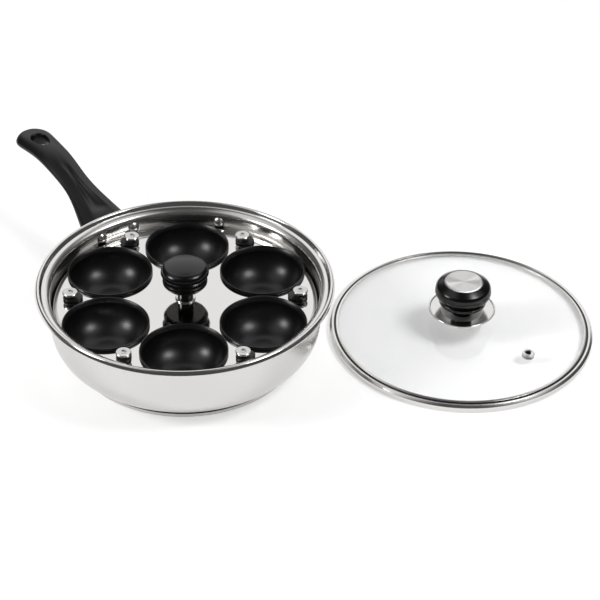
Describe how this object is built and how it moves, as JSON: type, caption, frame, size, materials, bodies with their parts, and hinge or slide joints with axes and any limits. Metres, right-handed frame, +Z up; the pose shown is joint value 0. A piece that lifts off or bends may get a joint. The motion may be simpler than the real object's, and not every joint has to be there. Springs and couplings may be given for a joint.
{
  "type": "egg poacher pan",
  "caption": "Round polished steel pan with a long black handle, a lift-out tray of hanging non-stick egg cups with a centre knob, and a steel-rimmed glass lid lying beside it.",
  "frame": {"origin": "middle of the pan's base, on the surface the pan stands on", "axes": "+Z up, +Y along the handle, away from the pan; the lid lies on the +X, -Y side"},
  "size_m": [0.4719, 0.5298, 0.0905],
  "materials": {
    "polished_steel": "mirror polished stainless steel",
    "brushed_steel": "spun brushed stainless steel",
    "core_aluminium": "plain",
    "black_plastic": "satin black phenolic",
    "non_stick": "satin black non-stick coating",
    "grey_tab": "satin dark grey",
    "seal_rubber": "matte",
    "clear_glass": "clear tempered glass"
  },
  "bodies": {
    "pan": {"pan_body": "polished_steel", "base_core": "core_aluminium", "base_cap": "brushed_steel", "handle_bracket": "polished_steel", "handle": "black_plastic", "handle_screw": "polished_steel", "handle_rivet_right": "polished_steel", "handle_rivet_left": "polished_steel", "wall_rivet": "polished_steel"},
    "tray": {"tray_plate": "polished_steel", "post_washer": "polished_steel", "tray_post": "black_plastic", "post_nut": "polished_steel", "tray_knob": "black_plastic", "button_1": "polished_steel", "button_2": "polished_steel", "button_3": "polished_steel", "button_4": "polished_steel", "button_5": "polished_steel", "button_6": "polished_steel"},
    "cup_1": {"cup_1": "non_stick"},
    "cup_2": {"cup_2": "non_stick"},
    "cup_3": {"cup_3": "non_stick"},
    "cup_4": {"cup_4": "non_stick"},
    "cup_5": {"cup_5": "non_stick"},
    "cup_6": {"cup_6": "non_stick"},
    "keeper_1": {"keeper_1": "grey_tab"},
    "keeper_2": {"keeper_2": "grey_tab"},
    "keeper_3": {"keeper_3": "grey_tab"},
    "keeper_4": {"keeper_4": "grey_tab"},
    "keeper_5": {"keeper_5": "grey_tab"},
    "keeper_6": {"keeper_6": "grey_tab"},
    "lid": {"lid_glass": "clear_glass", "lid_band": "polished_steel", "lid_gasket": "seal_rubber", "lid_dish": "polished_steel", "lid_knob": "black_plastic", "lid_cap": "brushed_steel", "lid_washer": "polished_steel", "lid_screw": "polished_steel", "lid_vent": "polished_steel"}
  },
  "joints": [
    {"name": "tray_lift", "type": "slide", "parent": "pan", "child": "tray", "axis": [0, 0, 1], "range_m": [0, 0.1]},
    {"name": "cup_1_lift", "type": "slide", "parent": "tray", "child": "cup_1", "axis": [0, 0, 1], "range_m": [0, 0.06]},
    {"name": "cup_2_lift", "type": "slide", "parent": "tray", "child": "cup_2", "axis": [0, 0, 1], "range_m": [0, 0.06]},
    {"name": "cup_3_lift", "type": "slide", "parent": "tray", "child": "cup_3", "axis": [0, 0, 1], "range_m": [0, 0.06]},
    {"name": "cup_4_lift", "type": "slide", "parent": "tray", "child": "cup_4", "axis": [0, 0, 1], "range_m": [0, 0.06]},
    {"name": "cup_5_lift", "type": "slide", "parent": "tray", "child": "cup_5", "axis": [0, 0, 1], "range_m": [0, 0.06]},
    {"name": "cup_6_lift", "type": "slide", "parent": "tray", "child": "cup_6", "axis": [0, 0, 1], "range_m": [0, 0.06]},
    {"name": "keeper_1_turn", "type": "hinge", "parent": "tray", "child": "keeper_1", "pos_m": [0.09044, 0.04608, 0.056], "axis": [0, 0, 1], "continuous": true},
    {"name": "keeper_2_turn", "type": "hinge", "parent": "tray", "child": "keeper_2", "pos_m": [0.00531, 0.10136, 0.056], "axis": [0, 0, 1], "continuous": true},
    {"name": "keeper_3_turn", "type": "hinge", "parent": "tray", "child": "keeper_3", "pos_m": [-0.08513, 0.05528, 0.056], "axis": [0, 0, 1], "continuous": true},
    {"name": "keeper_4_turn", "type": "hinge", "parent": "tray", "child": "keeper_4", "pos_m": [-0.09044, -0.04608, 0.056], "axis": [0, 0, 1], "continuous": true},
    {"name": "keeper_5_turn", "type": "hinge", "parent": "tray", "child": "keeper_5", "pos_m": [-0.00531, -0.10136, 0.056], "axis": [0, 0, 1], "continuous": true},
    {"name": "keeper_6_turn", "type": "hinge", "parent": "tray", "child": "keeper_6", "pos_m": [0.08513, -0.05528, 0.056], "axis": [0, 0, 1], "continuous": true},
    {"name": "lid_lift", "type": "slide", "parent": "pan", "child": "lid", "axis": [0, 0, 1], "range_m": [0, 0.05]}
  ]
}
